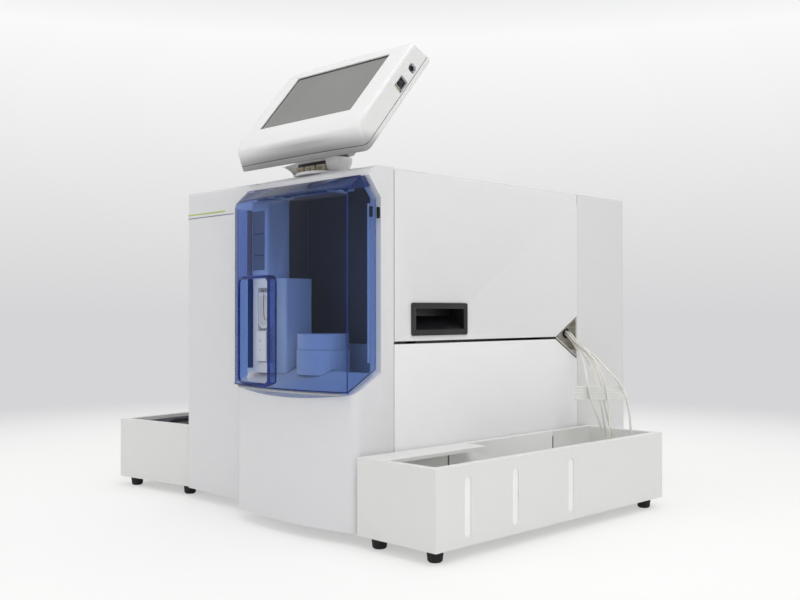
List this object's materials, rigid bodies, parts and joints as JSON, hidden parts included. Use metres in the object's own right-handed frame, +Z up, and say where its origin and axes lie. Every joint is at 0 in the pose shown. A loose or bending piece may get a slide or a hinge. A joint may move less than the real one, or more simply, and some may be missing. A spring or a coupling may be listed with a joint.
{
  "type": "chemistry analyzer",
  "caption": "Benchtop chemistry analyzer: box body with lift-up side door, hinged blue hood over a sample chamber, tilting screen, tubes and bottle caddies.",
  "frame": {"origin": "on the bench, under the middle of the machine and its two caddies", "axes": "+Z up, the screen and hood face -Y, +X is the side with the door, seen from the front on the right"},
  "size_m": [0.6562, 0.5118, 0.5216],
  "materials": {
    "painted_panel": "satin white paint",
    "white_moulding": "satin white moulding",
    "screen_housing": "fine satin",
    "caddy_white": "satin",
    "chamber_light": "satin",
    "black_plastic": "satin black",
    "dark_panel": "matt",
    "grey_foam": "matt",
    "black_rubber": "matt",
    "bright_metal": "brushed",
    "hood_plastic": "clear blue, polished",
    "screen_glass": "polished grey",
    "pump_beige": "satin",
    "circuit_board": "satin green",
    "clear_band": "clear",
    "milky_tube": "milky, glossy"
  },
  "bodies": {
    "machine": {"base_pan": "bright_metal", "foot_front_left": "black_rubber", "foot_front_right": "black_rubber", "foot_rear_left": "black_rubber", "foot_rear_right": "black_rubber", "lower_side_panel": "painted_panel", "left_side_panel": "painted_panel", "top_cover": "painted_panel", "door_hinge_rod": "bright_metal", "tube_notch_lining": "bright_metal", "tube_grommet": "black_rubber", "rear_cover": "painted_panel", "fan_frame": "black_plastic", "power_inlet": "black_plastic", "front_bezel": "white_moulding", "hood_hinge_rod": "black_plastic", "chamber_liner": "chamber_light", "chamber_back_panel": "dark_panel", "sampler_column": "chamber_light", "sensor_module": "chamber_light", "carousel_base": "chamber_light", "pump_panel": "bright_metal", "pump_body_1": "pump_beige", "pump_body_2": "pump_beige", "valve_block": "pump_beige", "main_board": "circuit_board", "power_supply": "bright_metal", "monitor_socket": "white_moulding", "right_caddy_tray": "caddy_white", "right_caddy_cover": "caddy_white", "right_caddy_foot_front_left": "black_rubber", "right_caddy_foot_front_right": "black_rubber", "right_caddy_foot_rear_left": "black_rubber", "right_caddy_foot_rear_right": "black_rubber", "left_caddy_tray": "caddy_white", "left_caddy_insert": "grey_foam", "left_caddy_foot_front_left": "black_rubber", "left_caddy_foot_front_right": "black_rubber", "left_caddy_foot_rear_left": "black_rubber", "left_caddy_foot_rear_right": "black_rubber", "tube_1": "milky_tube", "tube_2": "milky_tube", "tube_3": "milky_tube", "tube_4": "milky_tube", "tube_5": "milky_tube", "tube_tie_band": "clear_band"},
    "door": {"side_door": "painted_panel", "door_handle_cup": "black_plastic"},
    "hood": {"hood": "hood_plastic"},
    "carousel": {"sample_carousel": "chamber_light"},
    "sipper": {"sipper_carriage": "chamber_light", "sipper_needle": "bright_metal"},
    "pump_rotor_1": {"pump_rotor_1": "black_plastic"},
    "pump_rotor_2": {"pump_rotor_2": "black_plastic"},
    "fan_rotor": {"fan_rotor": "black_plastic"},
    "rocker": {"power_rocker": "black_plastic"},
    "neck": {"monitor_neck": "screen_housing"},
    "screen_unit": {"monitor_frame": "screen_housing", "touch_screen": "screen_glass", "monitor_rear_shell": "screen_housing"}
  },
  "joints": [
    {"name": "door_hinge", "type": "hinge", "parent": "machine", "child": "door", "pos_m": [0.17752, -0.01765, 0.3856], "axis": [0, -1, 0], "range_deg": [0, 90]},
    {"name": "hood_hinge", "type": "hinge", "parent": "machine", "child": "hood", "pos_m": [0.11852, -0.22275, 0.3664], "axis": [-1, 0, 0], "range_deg": [0, 60]},
    {"name": "carousel_turn", "type": "hinge", "parent": "machine", "child": "carousel", "pos_m": [0.11442, -0.18915, 0.185], "axis": [0, 0, 1], "continuous": true},
    {"name": "sipper_travel", "type": "slide", "parent": "machine", "child": "sipper", "axis": [0, 0, -1], "range_m": [0, 0.026]},
    {"name": "pump_1_turn", "type": "hinge", "parent": "machine", "child": "pump_rotor_1", "pos_m": [0.16752, -0.04295, 0.3], "axis": [1, 0, 0], "continuous": true},
    {"name": "pump_2_turn", "type": "hinge", "parent": "machine", "child": "pump_rotor_2", "pos_m": [0.16752, 0.03105, 0.3], "axis": [1, 0, 0], "continuous": true},
    {"name": "fan_turn", "type": "hinge", "parent": "machine", "child": "fan_rotor", "pos_m": [0.12552, 0.24005, 0.282], "axis": [0, 1, 0], "continuous": true},
    {"name": "rocker_tilt", "type": "hinge", "parent": "machine", "child": "rocker", "pos_m": [-0.05048, 0.24995, 0.076], "axis": [0, 0, 1], "range_deg": [-8, 8]},
    {"name": "screen_swivel", "type": "hinge", "parent": "machine", "child": "neck", "pos_m": [0.11052, -0.18095, 0.39], "axis": [0, 0, -1], "range_deg": [-45, 45]},
    {"name": "screen_tilt", "type": "hinge", "parent": "neck", "child": "screen_unit", "pos_m": [0.11052, -0.17695, 0.413], "axis": [-1, 0, 0], "range_deg": [-10, 20]}
  ]
}
